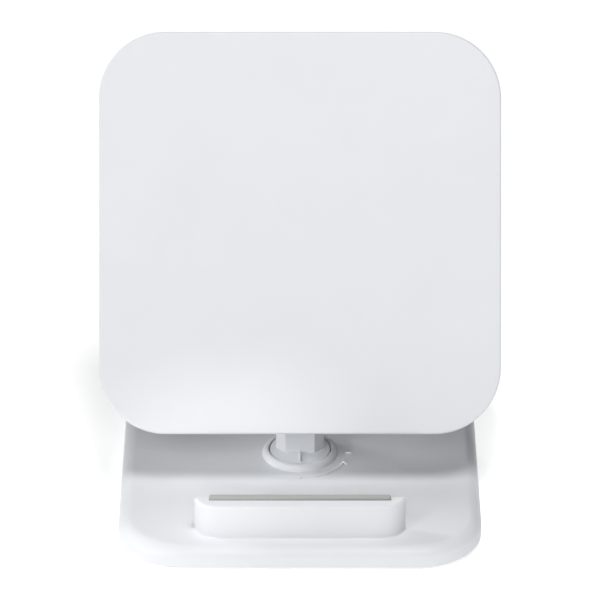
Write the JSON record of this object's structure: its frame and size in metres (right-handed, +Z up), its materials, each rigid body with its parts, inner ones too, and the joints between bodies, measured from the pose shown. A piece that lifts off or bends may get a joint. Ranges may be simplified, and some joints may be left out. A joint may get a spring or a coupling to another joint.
{
  "type": "wireless charging stand",
  "caption": "Desk stand for wireless phone charging: a square tilting pad on a twist-lock post, over a weighted base with a cushioned front lip.",
  "frame": {"origin": "centre of the footprint on the desk surface, under the post's twist axis", "axes": "+Z up; -Y towards the user, the side the pad faces; +X to the user's right"},
  "size_m": [0.09, 0.083, 0.0989],
  "materials": {
    "white_plastic": "fine satin moulded plastic, faintly cool white",
    "grey_rubber": "soft matt grey cushion strip",
    "dark_rubber": "matt rubber foot",
    "steel": "zinc-plated steel",
    "copper": "enamelled copper winding",
    "ferrite": "sintered ferrite",
    "board": "solder-masked laminate",
    "black_plastic": "moulded black plastic",
    "ceramic": "ceramic chip body"
  },
  "bodies": {
    "base": {"base_cover": "white_plastic", "lip_cushion": "grey_rubber", "base_plate": "white_plastic", "ballast_plate": "steel", "foot_front_left": "dark_rubber", "foot_rear_left": "dark_rubber", "foot_front_right": "dark_rubber", "foot_rear_right": "dark_rubber", "base_screw_front_left": "steel", "base_screw_rear_left": "steel", "base_screw_front_right": "steel", "base_screw_rear_right": "steel"},
    "post": {"post": "white_plastic", "friction_washer_left": "steel", "friction_washer_right": "steel"},
    "pad": {"front_cover": "white_plastic", "rear_cover": "white_plastic", "charging_coil": "copper", "ferrite_sheet": "ferrite", "circuit_board": "board", "control_chip": "black_plastic", "driver_chip": "black_plastic", "power_inductor": "ferrite", "resonant_capacitor_a": "ceramic", "resonant_capacitor_b": "ceramic", "resonant_capacitor_c": "ceramic", "bulk_capacitor": "ceramic", "usb_socket": "steel", "usb_tongue": "black_plastic", "tilt_bracket": "steel", "hinge_screw": "steel", "hinge_nut": "steel", "case_screw_lower_left": "steel", "case_screw_upper_left": "steel", "case_screw_lower_right": "steel", "case_screw_upper_right": "steel", "bracket_screw_left": "steel", "bracket_screw_right": "steel", "board_screw_left": "steel", "board_screw_right": "steel"}
  },
  "joints": [
    {"name": "post_twist", "type": "hinge", "parent": "base", "child": "post", "pos_m": [0, 0, 0.0069], "axis": [0, 0, 1], "range_deg": [0, 90]},
    {"name": "pad_tilt", "type": "hinge", "parent": "post", "child": "pad", "pos_m": [0, 0.0055, 0.027], "axis": [-1, 0, 0], "range_deg": [0, 30]}
  ]
}
